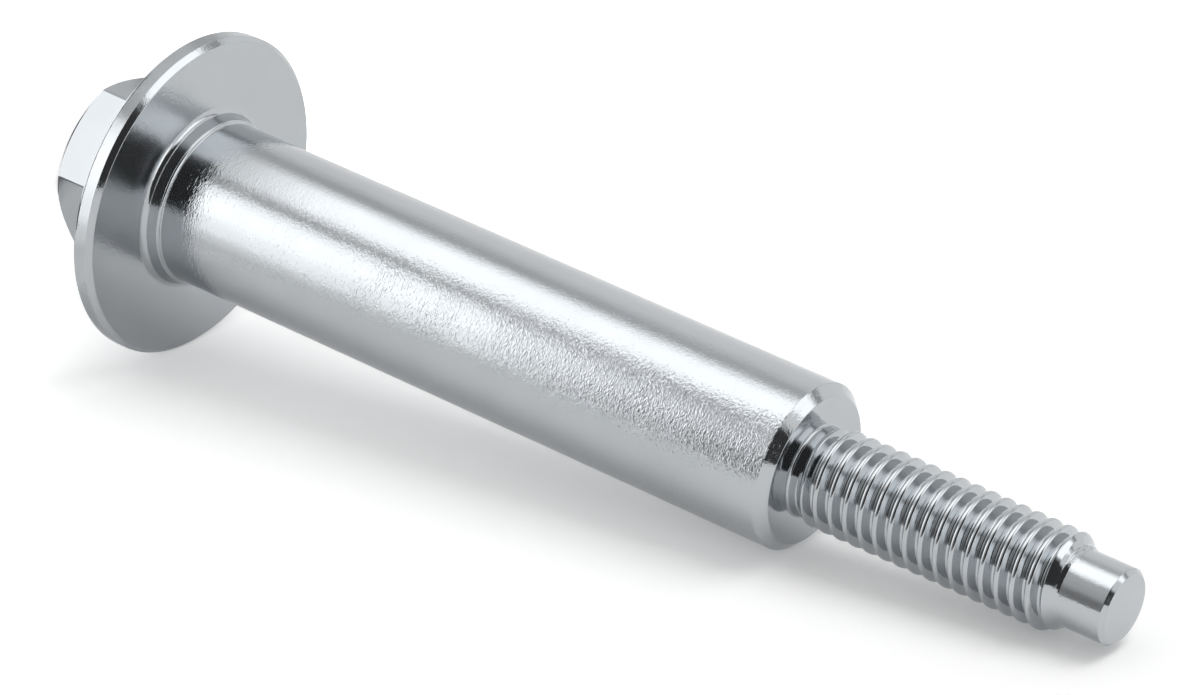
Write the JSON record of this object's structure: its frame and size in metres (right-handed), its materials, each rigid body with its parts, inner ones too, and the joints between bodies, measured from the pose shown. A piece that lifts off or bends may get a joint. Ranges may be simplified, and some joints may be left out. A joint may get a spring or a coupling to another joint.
{
  "type": "flanged shoulder bolt",
  "caption": "Hexagon head bolt with a wide round flange, a long plain shoulder, a short threaded end and a dog point.",
  "frame": {"origin": "centre of the flat top of the head, on which the bolt stands", "axes": "+Z along the bolt's axis, from the head towards the dog point; two corners of the hexagon lie on X"},
  "size_m": [0.0318, 0.0318, 0.1149],
  "materials": {
    "zinc_steel": "bright zinc plating over turned and rolled steel"
  },
  "bodies": {
    "root": {"bolt": "zinc_steel"}
  },
  "joints": []
}
